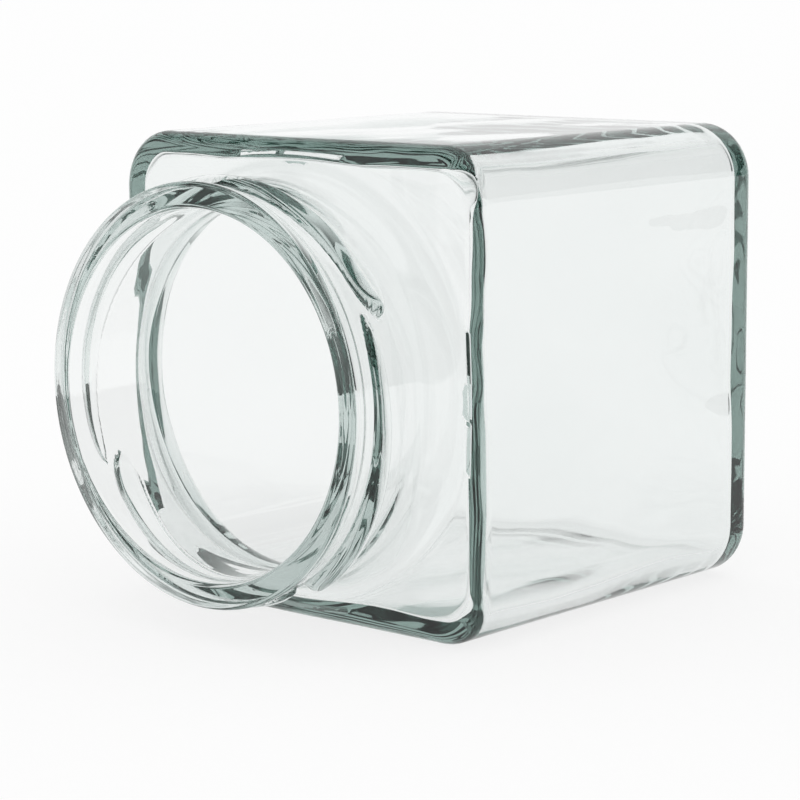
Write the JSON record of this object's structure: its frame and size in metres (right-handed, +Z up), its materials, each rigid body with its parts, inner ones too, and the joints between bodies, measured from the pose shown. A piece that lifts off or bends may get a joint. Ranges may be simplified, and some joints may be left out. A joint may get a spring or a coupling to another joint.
{
  "type": "glass jar",
  "caption": "Square clear glass storage jar lying on its side, with rounded edges, a wide round neck with an interrupted lug thread, a rounded lip and a pushed-up base.",
  "frame": {"origin": "middle of the jar's bounding box seen from above, on the plane that the jar lies on", "axes": "+Z up from the flat side it lies on; +Y along the jar's axis from mouth to base, so the mouth faces -Y; +X to the right as seen from the mouth"},
  "size_m": [0.06, 0.0732, 0.06],
  "materials": {
    "clear_glass": "clear blown soda glass, fire-polished, faint green tint in the thick edges"
  },
  "bodies": {
    "root": {"glass_jar": "clear_glass"}
  },
  "joints": []
}
